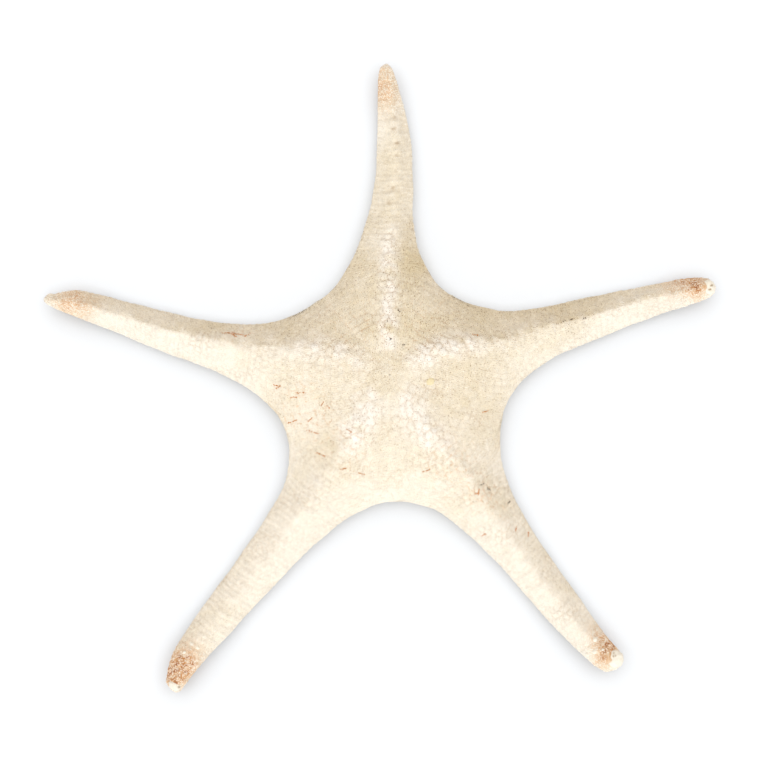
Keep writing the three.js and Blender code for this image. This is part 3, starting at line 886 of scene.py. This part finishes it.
def calcite(name, colours, roughness, seam_share):
    """Calcite that reads the marks of its mesh. colours: plain, tan, bleach, seam, rust and dark rust."""
    material = bpy.data.materials.new(name)
    material.use_nodes = True
    tree = material.node_tree
    tree.nodes.clear()
    plain_colour, tan_colour, bleach_colour, seam_colour, rust_colour, dark_colour = map(linear, colours)
    mark = {
        wanted: add_node(tree, "ShaderNodeAttribute", {"attribute_name": wanted}, {}).outputs["Fac"]
        for wanted in ("seam", "bleach", "tan", "rust", "pit", "pore")
    }
    where = add_node(tree, "ShaderNodeTexCoord", {}, {}).outputs["Object"]
    mottle = add_node(
        tree,
        "ShaderNodeTexNoise",
        {},
        {"Vector": where, "Scale": per_metre(MOTTLE_SIZE), "Detail": 3.0, "Roughness": 0.6},
    ).outputs["Fac"]
    grain = add_node(
        tree, "ShaderNodeTexNoise", {}, {"Vector": where, "Scale": per_metre(GRAIN_SIZE), "Detail": 2.0}
    ).outputs["Fac"]
    pores = add_node(tree, "ShaderNodeTexVoronoi", {}, {"Vector": where, "Scale": per_metre(PORE_SPACING)})
    pore_chance = add_node(tree, "ShaderNodeSeparateColor", {}, {"Color": pores.outputs["Color"]})
    pore_size = add_node(tree, "ShaderNodeMapRange", {}, {"Value": pore_chance.outputs[0], **PORE_RADII})
    in_pore = add_node(
        tree,
        "ShaderNodeMath",
        {"operation": "SUBTRACT", "use_clamp": True},
        {0: pore_size.outputs["Result"], 1: pores.outputs["Distance"]},
    )
    pore = add_node(
        tree,
        "ShaderNodeMapRange",
        {},
        {"Value": in_pore.outputs[0], "From Max": PORE_EDGE, "To Max": PORE_SHARE},
    )
    pore_amount = add_node(
        tree, "ShaderNodeMath", TIMES, {0: pore.outputs["Result"], 1: mark["pore"]}
    )
    seam_amount = add_node(tree, "ShaderNodeMath", TIMES, {0: mark["seam"], 1: seam_share})
    steps = [
        (mark["tan"], tan_colour),
        (mark["bleach"], bleach_colour),
        (seam_amount.outputs[0], seam_colour),
        (pore_amount.outputs[0], linear(PORE_COLOUR)),
        (mark["pit"], linear(PIT_SHADE_COLOUR)),
    ]
    colour = plain_colour
    for amount, towards in steps:
        stained = add_node(tree, "ShaderNodeMix", MIX, {FACTOR: amount, FIRST: colour, SECOND: towards})
        colour = stained.outputs[MIXED]
    burnt = add_node(tree, "ShaderNodeMapRange", {}, {"Value": mottle, **NOISE_CORE, "To Min": BURNT_LEAST})
    deep = add_node(tree, "ShaderNodeMath", {"operation": "POWER"}, {0: mark["rust"], 1: 2.0})
    dark = add_node(
        tree, "ShaderNodeMath", TIMES, {0: burnt.outputs["Result"], 1: deep.outputs[0]}
    )
    browns = add_node(
        tree, "ShaderNodeMix", MIX, {FACTOR: dark.outputs[0], FIRST: rust_colour, SECOND: dark_colour}
    )
    colour = add_node(
        tree, "ShaderNodeMix", MIX, {FACTOR: mark["rust"], FIRST: colour, SECOND: browns.outputs[MIXED]}
    ).outputs[MIXED]
    for pattern, darkest in ((mottle, MOTTLE_DARKEST), (grain, GRAIN_DARKEST)):
        value = add_node(tree, "ShaderNodeMapRange", {}, {"Value": pattern, **NOISE_SPAN, "To Min": darkest})
        colour = add_node(
            tree, "ShaderNodeMix", MULTIPLY, {FACTOR: 1.0, FIRST: colour, SECOND: value.outputs["Result"]}
        ).outputs[MIXED]
    bump = add_node(
        tree, "ShaderNodeBump", {}, {"Height": grain, "Strength": 0.35, "Distance": GRAIN_HEIGHT / 1000}
    )
    shader = add_node(
        tree,
        "ShaderNodeBsdfPrincipled",
        {},
        {"Base Color": colour, "Roughness": roughness, "Normal": bump.outputs[0], "Specular IOR Level": 0.3},
    )
    add_node(tree, "ShaderNodeOutputMaterial", {}, {"Surface": shader.outputs[0]})
    return material


# Dried and sun-bleached: the thin skin between the granules, a matt warm cream that is tan in the seams
skin_between = calcite(
    "dried_skin_over_calcite_plates",
    ("#F1E8DB", "#D9C9AA", "#F8F1EA", "#B8A08A", "#DFA568", "#A06A48"),
    0.8,
    0.4,
)
# Grown granules, bleached: paler than the skin, with a faint soft shine on their tops
granule_calcite = calcite(
    "bleached_calcite_granules",
    ("#F9F4ED", "#E8DCC3", "#FCF9F5", "#DACABA", "#E4B280", "#98644A"),
    0.6,
    0.3,
)

# End plates: arm, place back from the tip, place to its left, half sizes, pits as (along, across, radius)

END_PLATES = [
    (
        "right",
        3.0,
        0.5,
        (2.1, 2.7, 1.6),
        [(0.6, 0.3, 0.32), (1.1, 0.35, 0.32), (-0.3, -0.85, 0.34), (0.15, -0.95, 0.34)],
    ),
    ("low_left", 2.2, -1.4, (1.7, 2.3, 1.3), [(-0.6, 1.6, 0.35)]),
    ("low_right", 3.8, 0.9, (3.3, 3.2, 1.8), [(-1.9, 0.95, 0.26), (-1.05, 0.95, 0.24), (-1.2, 0.1, 0.26)]),
]
END_PLATE_SUNK = 0.4  # share of its height


def end_plate_middle(name, back, aside):
    arm = next(arm for arm in ARMS if arm["name"] == name)
    return arm_point(arm, 1 - back / arm["reach"], aside), arm["bearing"]


def outside_end_plates(points):
    clear = np.ones(len(points), bool)
    for name, back, aside, half_sizes, _ in END_PLATES:
        middle, bearing = end_plate_middle(name, back, aside)
        away_from = points[:, :2] - middle
        along = away_from @ heading(bearing) / half_sizes[0]
        across = away_from @ heading(bearing + 90) / half_sizes[1]
        clear &= np.hypot(along, across) > 1
    return clear


# The skin itself

starfish_skin = make_piece("starfish_skin", body, triangles, marks, skin_between)
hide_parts("starfish")

# Granules in rows: pitch, radius, height, profile, sides, and how deep they sit in the skin

BEAD = [(1.0, 0.0)]
TALL_BEAD = [(1.0, 0.0), (0.8, 0.55)]
BACK = {"pitch": 0.68, "radius": 0.31, "height": 0.27, "profile": BEAD, "sides": 6, "sink": 0.07}
ENDS = {"pitch": 0.8, "radius": 0.31, "height": 0.3, "profile": TALL_BEAD, "sides": 6, "sink": 0.08}
SIDES = {"pitch": 0.95, "radius": 0.42, "height": 0.3, "profile": BEAD, "sides": 5, "sink": 0.18}
UNDER = {"pitch": 1.15, "radius": 0.5, "height": 0.34, "profile": BEAD, "sides": 5, "sink": 0.07}
GRANULE_SIZES = (0.78, 1.12)
GRANULE_SCATTER = 0.1  # of the pitch
ROW_BEGINS = 0.25  # of the pitch
TAN_SCATTER = 0.16  # from granule to granule
GRANULE_RUST = 0.62  # share of the skin's rust, fading faster than the skin's
GRANULE_RUST_POWER = 1.6
GRANULE_RUSTS = (0.3, 1.3)
BARE_SEAM = 0.62  # seams deeper than this carry few granules
SEAM_GRANULES = 0.3  # share that seams still carry on the back
END_LENGTH = 18.0  # of the arm ends, which carry taller granules
END_OVERLAP = 0.75  # share of it that is clear of the back's granules
END_EDGES = (0.7, 1.1)  # shares of it where the ends' granules stop
END_STRAY = 0.18


def strewn(rows, pitch):
    """Points every pitch along rows of skin points, with their facing and marks."""
    found = {name: [] for name in ("point", "axis", *marks, "from_tip")}
    for count, numbers in enumerate(rows):
        if len(numbers) < 2:
            continue
        line = body[numbers]
        run = np.concatenate([[0], np.cumsum(np.linalg.norm(np.diff(line, axis=0), axis=1))])
        amount = int(run[-1] / pitch)
        steps = np.arange(amount) + ROW_BEGINS + 0.5 * (count % 2)
        at = (steps + chance.normal(0, GRANULE_SCATTER, amount)) * pitch
        found["point"].append(np.stack([np.interp(at, run, line[:, axis]) for axis in range(3)], 1))
        found["axis"].append(np.stack([np.interp(at, run, facing[numbers, axis]) for axis in range(3)], 1))
        for name, values in (*marks.items(), ("from_tip", from_tip)):
            found[name].append(np.interp(at, run, values[numbers]))
    found = {name: np.concatenate(values) for name, values in found.items()}
    found["axis"] /= np.linalg.norm(found["axis"], axis=1)[:, None]
    return found


def granules(name, found, keep, sort):
    found = {key: values[keep] for key, values in found.items()}
    amount = len(found["point"])
    size = chance.uniform(*GRANULE_SIZES, amount)
    points, faces, each = domes(
        found["point"],
        found["axis"],
        sort["radius"] * size,
        sort["height"] * size,
        sort["profile"],
        sort["sides"],
        sort["sink"],
    )
    tinted = {mark: found[mark] for mark in marks}
    tinted["tan"] = np.clip(tinted["tan"] + chance.normal(0, TAN_SCATTER, amount), 0, 1)
    rust_left = GRANULE_RUST * np.clip(tinted["rust"], 0, 1) ** GRANULE_RUST_POWER
    tinted["rust"] = rust_left * chance.uniform(*GRANULE_RUSTS, amount)
    repeated = {mark: np.repeat(values, each) for mark, values in tinted.items()}
    return make_piece(name, points, faces, repeated, granule_calcite)


for index, arm in enumerate(ARMS):
    found = strewn([row[0] for row in top_rows[index]], BACK["pitch"])
    keep = (found["seam"] < BARE_SEAM) | (chance.uniform(size=len(found["seam"])) < SEAM_GRANULES)
    keep &= found["from_tip"] > END_OVERLAP * END_LENGTH
    keep &= outside_end_plates(found["point"])
    granules(f"granules_{arm['name']}", found, keep, BACK)

found = strewn([row[0] for rows in top_rows for row in rows], ENDS["pitch"])
keep = found["from_tip"] < END_LENGTH * chance.uniform(*END_EDGES, len(found["seam"]))
moved = chance.normal(0, END_STRAY, found["point"].shape)
found["point"] = found["point"] + moved - (moved * found["axis"]).sum(1)[:, None] * found["axis"]
keep &= outside_end_plates(found["point"])
granules("granules_arm_ends", found, keep, ENDS)

found = strewn([line[0] for lines in side_lines for line in lines], SIDES["pitch"])
keep = (found["seam"] < BARE_SEAM) & outside_end_plates(found["point"])
granules("granules_sides", found, keep, SIDES)

found = strewn([row[0] for rows in sole_rows for row in rows], UNDER["pitch"])
granules("granules_sole", found, found["seam"] < BARE_SEAM, UNDER)

# Single pieces set on the skin

skin_tree = BVHTree.FromPolygons(body.tolist(), triangles.tolist())
ABOVE = 60.0  # height to look down from
LUMP_RINGS = 16
LUMP_SIDES = 28
LUMP_UNEVENNESS = 0.05
LUMP_WAVELENGTH = 0.7333  # as a share of its half size
LUMP_BLEACH = 0.85
LUMP_PIT_DEPTH = 1.3  # as a share of the pit's radius
SIEVE_FURROWS = 11  # round the sieve plate


def on_skin(x, y):
    """Point and facing of the upper skin at a place in plan."""
    point, axis, _, _ = skin_tree.ray_cast(Vector((x, y, ABOVE)), Vector((0, 0, -1)))
    return np.array(point), np.array(axis)


def even_marks(count, **given):
    return {mark: np.full(count, given.get(mark, 0.0)) for mark in marks}


def lump(name, x, y, bearing, half_sizes, sunk, pits, material, furrows=0.0):
    """A rounded plate with small pits, darkened with painted shade. half_sizes: along its bearing, across it
    and upwards.
    """
    lifts = np.linspace(-math.pi / 2, math.pi / 2, LUMP_RINGS + 1)[1:-1]
    angles = np.arange(LUMP_SIDES) * FULL_TURN / LUMP_SIDES
    ball = [(0, 0, -1)]
    for up in lifts:
        ball += [(math.cos(up) * math.cos(a), math.cos(up) * math.sin(a), math.sin(up)) for a in angles]
    ball = np.array([*ball, (0, 0, 1)])
    last = len(ball) - 1
    faces = []
    for side in range(LUMP_SIDES):
        onward = (side + 1) % LUMP_SIDES
        faces.append([0, 1 + onward, 1 + side])
        faces.append([last, last - LUMP_SIDES + side, last - LUMP_SIDES + onward])
        for near in range(1, 1 + (LUMP_RINGS - 2) * LUMP_SIDES, LUMP_SIDES):
            far = near + LUMP_SIDES
            faces.append([near + side, near + onward, far + onward])
            faces.append([near + side, far + onward, far + side])
    uneven = LUMP_UNEVENNESS * ripple(ball, LUMP_WAVELENGTH, seed=int(abs(x) * 10))
    local = ball * np.array(half_sizes) * (1 + uneven)[:, None]
    angle_round = np.arctan2(ball[:, 1], ball[:, 0])
    furrowed = furrows * np.cos(SIEVE_FURROWS * angle_round) * np.hypot(ball[:, 0], ball[:, 1])
    local *= (1 + furrowed)[:, None]
    dark = np.zeros(len(ball))
    for along, across, radius in pits:
        gap = np.hypot(local[:, 0] - along, local[:, 1] - across) / radius
        hole = np.exp(-(gap**2)) * (ball[:, 2] > 0)
        local[:, 2] -= LUMP_PIT_DEPTH * radius * hole
        dark = np.maximum(dark, hole)
    ahead, aside = heading(bearing), heading(bearing + 90)
    point, _ = on_skin(x, y)
    plan = local[:, :1] * ahead + local[:, 1:2] * aside
    points = np.column_stack([plan + point[:2], local[:, 2] + point[2] - sunk])
    lump_marks = even_marks(len(points), bleach=LUMP_BLEACH)
    # The pits take the painted shade colour
    lump_marks["pit"] = dark
    return make_piece(name, points, np.array(faces), lump_marks, material)


# Bare calcite, worn smooth: the white end plates, cleaner and a little shinier than the skin
bare_calcite = calcite(
    "worn_bare_calcite",
    ("#EBE4D8", "#EADBC0", "#F0EAE0", "#D8C4A4", "#D39A68", "#9A5A33"),
    0.5,
    0.0,
)

for name, back, aside, half_sizes, pits in END_PLATES:
    (x, y), bearing = end_plate_middle(name, back, aside)
    lump(f"end_plate_{name}", x, y, bearing, half_sizes, half_sizes[2] * END_PLATE_SUNK, pits, bare_calcite)

# Bare nodes that stand in the brown of the two low arms: place in plan, bearing and half sizes

BARE_NODES = [
    (74.9, -100.8, 30, (0.95, 0.85, 0.8)),
    (74.9, -96.5, 80, (1.05, 0.95, 0.9)),
    (77.8, -100.1, 0, (0.6, 0.55, 0.6)),
    (-74.4, -101.2, 20, (0.75, 0.6, 0.6)),
    (-71.7, -98.1, -40, (0.85, 0.6, 0.6)),
    (-69.6, -99.4, -30, (0.8, 0.55, 0.55)),
]
BARE_NODE_SUNK = 0.3  # share of its height

for number, (x, y, bearing, half_sizes) in enumerate(BARE_NODES):
    lump(f"bare_node_{number}", x, y, bearing, half_sizes, half_sizes[2] * BARE_NODE_SUNK, [], bare_calcite)

# Porous calcite, grown as a sieve: the small yellow plate that lets water in, finely furrowed
sieve_calcite = calcite(
    "furrowed_yellow_calcite",
    ("#E6D6AE", "#E3C77F", "#E9DBB8", "#C9A862", "#D39A68", "#9A5A33"),
    0.6,
    0.0,
)
SIEVE_PLACE = (14.8, -2.5)
SIEVE_BEARING = 20
SIEVE_HALF_SIZES = (1.6, 1.3, 0.7)
SIEVE_SUNK = 0.2
SIEVE_FURROW_DEPTH = 0.07  # as a share of its half size

lump(
    "sieve_plate",
    *SIEVE_PLACE,
    SIEVE_BEARING,
    SIEVE_HALF_SIZES,
    SIEVE_SUNK,
    [],
    sieve_calcite,
    SIEVE_FURROW_DEPTH,
)

# Dried tissue: short strokes of brown caught between the granules


def plain_matt(name, code, other, roughness):
    """A matt stain that wanders between two colours."""
    material = bpy.data.materials.new(name)
    material.use_nodes = True
    tree = material.node_tree
    shader = tree.nodes["Principled BSDF"]
    where = add_node(tree, "ShaderNodeTexCoord", {}, {}).outputs["Object"]
    scale = per_metre(STROKE_CLOUD_SIZE)
    cloud = add_node(tree, "ShaderNodeTexNoise", {}, {"Vector": where, "Scale": scale})
    mixed = add_node(
        tree,
        "ShaderNodeMix",
        MIX,
        {FACTOR: cloud.outputs["Fac"], FIRST: linear(code), SECOND: linear(other)},
    )
    tree.links.new(mixed.outputs[MIXED], shader.inputs["Base Color"])
    shader.inputs["Roughness"].default_value = roughness
    return material


# Strokes: place in plan, length and bearing

RUST_STROKES = [
    (-40.7, -3.9, 2.6, -8), (-40.2, -4.6, 1.6, 30), (-31.9, -6.5, 2.6, 0), (-34.5, -8.2, 2.4, 5),
    (-35.2, -17.1, 3.6, 20), (-28.6, -16.4, 2.2, 38), (-27.7, -20.7, 4.5, -16), (-14.4, -20.0, 1.8, -30),
    (-13.6, -20.6, 1.2, 60), (-24.6, -28.8, 2.8, -20), (-16.6, -33.9, 2.4, 10), (-10.0, -35.7, 2.2, -12),
    (13.4, -34.6, 2.8, 20), (34.9, -13.4, 2.4, 10), (31.2, 14.3, 2.2, -4), (32.3, -42.3, 2.0, 80),
    (31.6, -42.8, 1.8, 15), (-58.5, 15.2, 3.8, 6), (-54.5, 14.6, 4.2, -6), (-51.6, 14.3, 2.4, 28),
    (-56.5, 14.4, 2.2, -30), (-24.0, -10.5, 1.6, 55), (-22.0, -11.5, 1.4, -40), (46.2, -56.2, 1.6, 70),
    (50.9, -58.3, 1.6, 80), (34.5, -58.3, 1.8, 30),
]
DARK_STROKES = [
    (36.2, -41.5, 1.6, -32), (43.7, -46.6, 1.3, 42), (63.4, 19.4, 0.8, 10), (66.3, 20.1, 0.9, 30),
    (70.7, 20.5, 0.9, 0), (3.4, 23.0, 1.3, -35), (-0.7, 19.0, 0.6, 70), (0.5, 12.5, 0.9, 50),
    (5.4, 10.7, 0.8, 0), (0.0, 0.0, 0.3, 0), (33.5, -39.7, 0.9, 20),
]
STROKE_STEP = 0.2
FLAKE_RADIUS = 0.17
FLAKE_HEIGHT = 0.34
FLAKE_HEIGHT_GROWS = 0.1  # more on a flake of full size
FLAKE_SIZES = (0.7, 1.25)
FLAKE_SIDES = 6
FLAKE_SINK = 0.07
FLAKE_STRAY = 0.1
FLAKE_SHARE = 0.75  # of the steps that carry a flake


def strokes(name, listed, material):
    """Strokes as strings of tiny flakes on the skin."""
    places = []
    for x, y, length, bearing in listed:
        for at in np.arange(-length / 2, length / 2 + STROKE_STEP, STROKE_STEP):
            if chance.uniform() < FLAKE_SHARE:
                places.append(np.array([x, y]) + heading(bearing) * at + chance.normal(0, FLAKE_STRAY, 2))
    points, axes = map(np.array, zip(*[on_skin(*plan) for plan in places]))
    size = chance.uniform(*FLAKE_SIZES, len(points))
    heights = FLAKE_HEIGHT + FLAKE_HEIGHT_GROWS * size
    made, faces, _ = domes(points, axes, FLAKE_RADIUS * size, heights, TALL_BEAD, FLAKE_SIDES, FLAKE_SINK)
    return make_piece(name, made, faces, {}, material)


# Dried tissue, rusty: warm orange-brown and quite matt
strokes("rust_strokes", RUST_STROKES, plain_matt("rusty_dried_tissue", "#DB9348", "#AE6A30", 0.8))
# The same where it has rotted nearly black
strokes("dark_strokes", DARK_STROKES, plain_matt("blackened_dried_tissue", "#5A3A22", "#2E1C10", 0.8))

# Under the arms: combs of short spines over each furrow, and longer ones round the mouth

SPINE_PITCH = 1.25
SPINE_LENGTH = 2.0
SPINE_LENGTHS = (0.8, 1.15)
SPINE_RADIUS = 0.36
SPINE_PROFILE = [(0.75, 0.0), (1.0, 0.25), (0.8, 0.75)]
SPINE_SIDES = 6
SPINE_SINK = 0.2
SPINE_RISE = 0.35  # of their feet over the sole
SPINE_LEAN = 0.25  # towards the tip
SPINE_TILT = 0.1  # upwards
SPINE_STRAY = 0.12
SPINE_TAN = 0.5
COMB_START = 0.3  # spans out from the disc's centre
COMB_STOP = SPANS - 1.25
COMB_STEPS = 900
MOUTH_SPINES = 20
MOUTH_SPINE_RISE = 0.4
MOUTH_SPINE_TILT = 0.12

bases = []
axes = []
for index in range(len(ARMS)):
    line = spline(FURROWS[index], np.linspace(COMB_START, COMB_STOP, COMB_STEPS), False)
    run = np.concatenate([[0], np.cumsum(np.linalg.norm(np.diff(line, axis=0), axis=1))])
    at = np.arange(0, run[-1], SPINE_PITCH)
    middle = np.stack([np.interp(at, run, line[:, axis]) for axis in range(2)], 1)
    ahead = np.gradient(middle, axis=0)
    ahead /= np.linalg.norm(ahead, axis=1)[:, None]
    for side in (-1, 1):
        aside = np.stack([-ahead[:, 1], ahead[:, 0]], 1) * side
        plan = middle + aside * FURROW_HALF_WIDTH
        level = lift(reach_share(np.full(len(plan), index), SPANS, plan)) + SOLE_RISE + SPINE_RISE
        bases.append(np.column_stack([plan, level]))
        lean = np.column_stack([ahead * SPINE_LEAN - aside, np.full(len(plan), SPINE_TILT)])
        axes.append(lean + chance.normal(0, SPINE_STRAY, lean.shape))
for number in range(MOUTH_SPINES):
    outward = heading(360 * (number + 0.5) / MOUTH_SPINES)
    bases.append(np.array([[*(outward * MOUTH_RADIUS), SOLE_RISE + MOUTH_SPINE_RISE]]))
    axes.append(np.array([[*(-outward), MOUTH_SPINE_TILT]]))
bases = np.concatenate(bases)
axes = np.concatenate(axes)
axes /= np.linalg.norm(axes, axis=1)[:, None]
lengths = SPINE_LENGTH * chance.uniform(*SPINE_LENGTHS, len(bases))
radii = np.full(len(bases), SPINE_RADIUS)
made, faces, _ = domes(bases, axes, radii, lengths, SPINE_PROFILE, SPINE_SIDES, SPINE_SINK)
spine_marks = even_marks(len(made), tan=SPINE_TAN)
make_piece("furrow_spines", made, faces, spine_marks, granule_calcite)

# Setting: a pale surface, a soft key from the near side, and even light from all round

KEY_ELEVATION = 46
KEY_SIDEWAYS = -6  # degrees towards the left
KEY_STRENGTH = 1.5
KEY_SPREAD = 30
KEY_COLOUR = "#EFFAFF"
AMBIENT = 1.06
AMBIENT_COLOUR = "#FFF8EC"
OVERHEAD_COLOUR = "#FFFFFF"
OVERHEAD_STRENGTH = 2.12  # from above, on the surface alone
OVERHEAD_SPREAD = 90
OVERHEAD_TILT = -14  # degrees from the far side
FLOOR_HALF = 3.0
FLOOR_COLOUR = "#CBD0D8"
FLOOR_ROUGHNESS = 0.9

floor_mesh = bpy.data.meshes.new("pale_surface")
corners = [(-1, -1), (1, -1), (1, 1), (-1, 1)]
floor_mesh.from_pydata([(x * FLOOR_HALF, y * FLOOR_HALF, 0) for x, y in corners], [], [(0, 1, 2, 3)])
floor = bpy.data.objects.new("pale_surface", floor_mesh)
bpy.context.scene.collection.objects.link(floor)
# Smooth matt card, lit so brightly that it shows only the soft contact shadow
card = bpy.data.materials.new("smooth_matt_card")
card.use_nodes = True
card_shader = card.node_tree.nodes["Principled BSDF"]
card_shader.inputs["Base Color"].default_value = linear(FLOOR_COLOUR)
card_shader.inputs["Roughness"].default_value = FLOOR_ROUGHNESS
floor_mesh.materials.append(card)
floor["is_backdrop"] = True

world = bpy.data.worlds.new("even_studio_light")
bpy.context.scene.world = world
world.use_nodes = True
world.node_tree.nodes["Background"].inputs["Color"].default_value = linear(AMBIENT_COLOUR)
world.node_tree.nodes["Background"].inputs["Strength"].default_value = AMBIENT

lit_by_key = bpy.data.collections.new("lit_by_key")
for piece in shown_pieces():
    lit_by_key.objects.link(piece)
lit_from_above = bpy.data.collections.new("lit_from_above")
lit_from_above.objects.link(floor)
key_turns = (90 - KEY_ELEVATION, 0, KEY_SIDEWAYS)
overhead_turns = (OVERHEAD_TILT, 0, 0)
lights = [
    ("soft_key", KEY_STRENGTH, KEY_COLOUR, KEY_SPREAD, key_turns, lit_by_key),
    ("soft_overhead", OVERHEAD_STRENGTH, OVERHEAD_COLOUR, OVERHEAD_SPREAD, overhead_turns, lit_from_above),
]
for name, strength, colour, spread_angle, turns, receivers in lights:
    light = bpy.data.lights.new(name, "SUN")
    light.energy = strength
    light.color = linear(colour)[:3]
    light.angle = math.radians(spread_angle)
    lamp = bpy.data.objects.new(name, light)
    lamp.rotation_euler = [math.radians(turn) for turn in turns]
    lamp.light_linking.receiver_collection = receivers
    bpy.context.scene.collection.objects.link(lamp)

# Camera straight above, a long lens

LENS = 100
VIEW_WIDTH = 0.2803  # metres that the picture spans at the arms' height
VIEW_HEIGHT = 0.008  # of that plane
VIEW_CENTRE = (0.00130, -0.0020)

camera_data = bpy.data.cameras.new("camera")
camera_data.lens = LENS
camera = bpy.data.objects.new("camera", camera_data)
distance = VIEW_WIDTH * LENS / camera_data.sensor_width
camera.location = (*VIEW_CENTRE, VIEW_HEIGHT + distance)
bpy.context.scene.collection.objects.link(camera)
bpy.context.scene.camera = camera
bpy.context.scene.view_settings.view_transform = "Standard"
